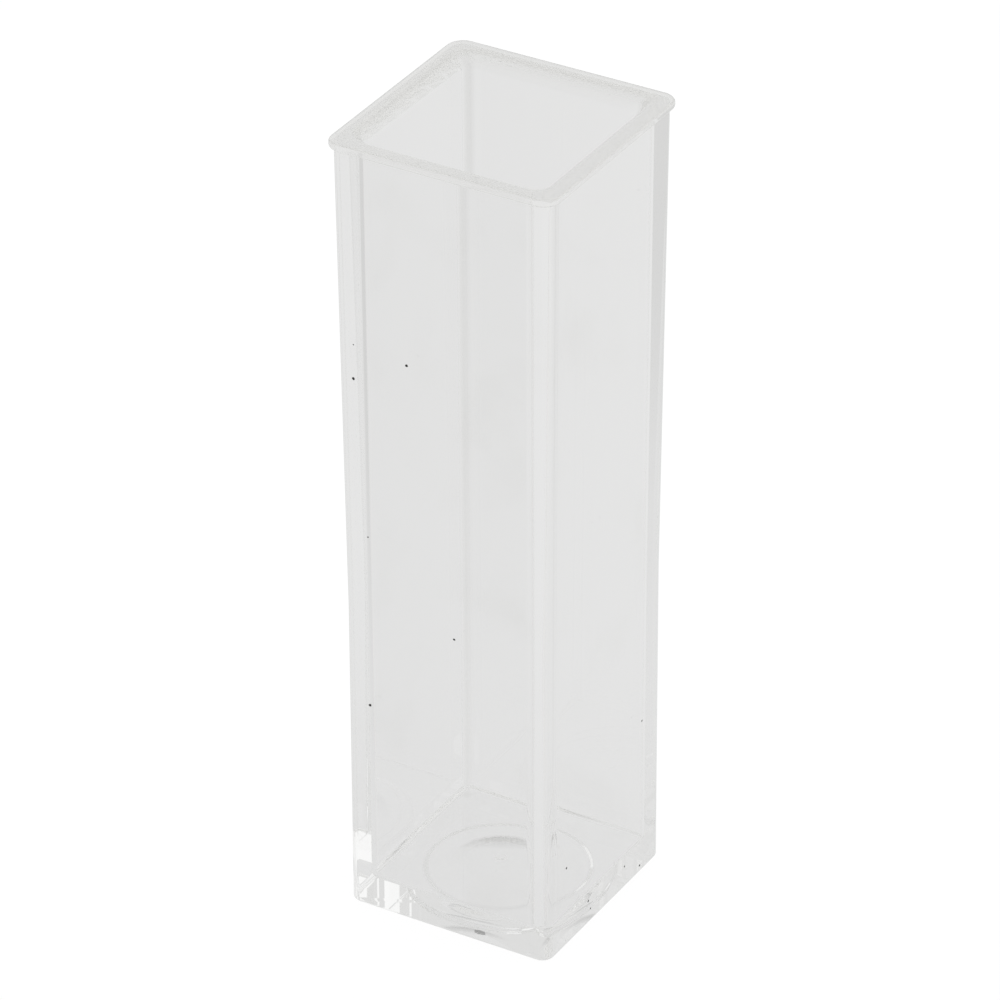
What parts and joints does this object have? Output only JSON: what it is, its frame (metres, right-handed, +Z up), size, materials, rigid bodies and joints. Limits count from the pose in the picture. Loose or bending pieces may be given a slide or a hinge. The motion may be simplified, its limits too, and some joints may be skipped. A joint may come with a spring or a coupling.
{
  "type": "cuvette",
  "caption": "Clear square sample cuvette, open at the top, with a rounded mouth, a thin rim, drafted walls, a thick floor and a round recess under its base.",
  "frame": {"origin": "middle of the base, on the plane it stands on", "axes": "+Z up along the cuvette, out of its mouth; X and Y square to its walls"},
  "size_m": [0.013, 0.013, 0.045],
  "materials": {
    "clear_plastic": "clear moulded plastic, polished walls, faint specks"
  },
  "bodies": {
    "root": {"cuvette": "clear_plastic"}
  },
  "joints": []
}
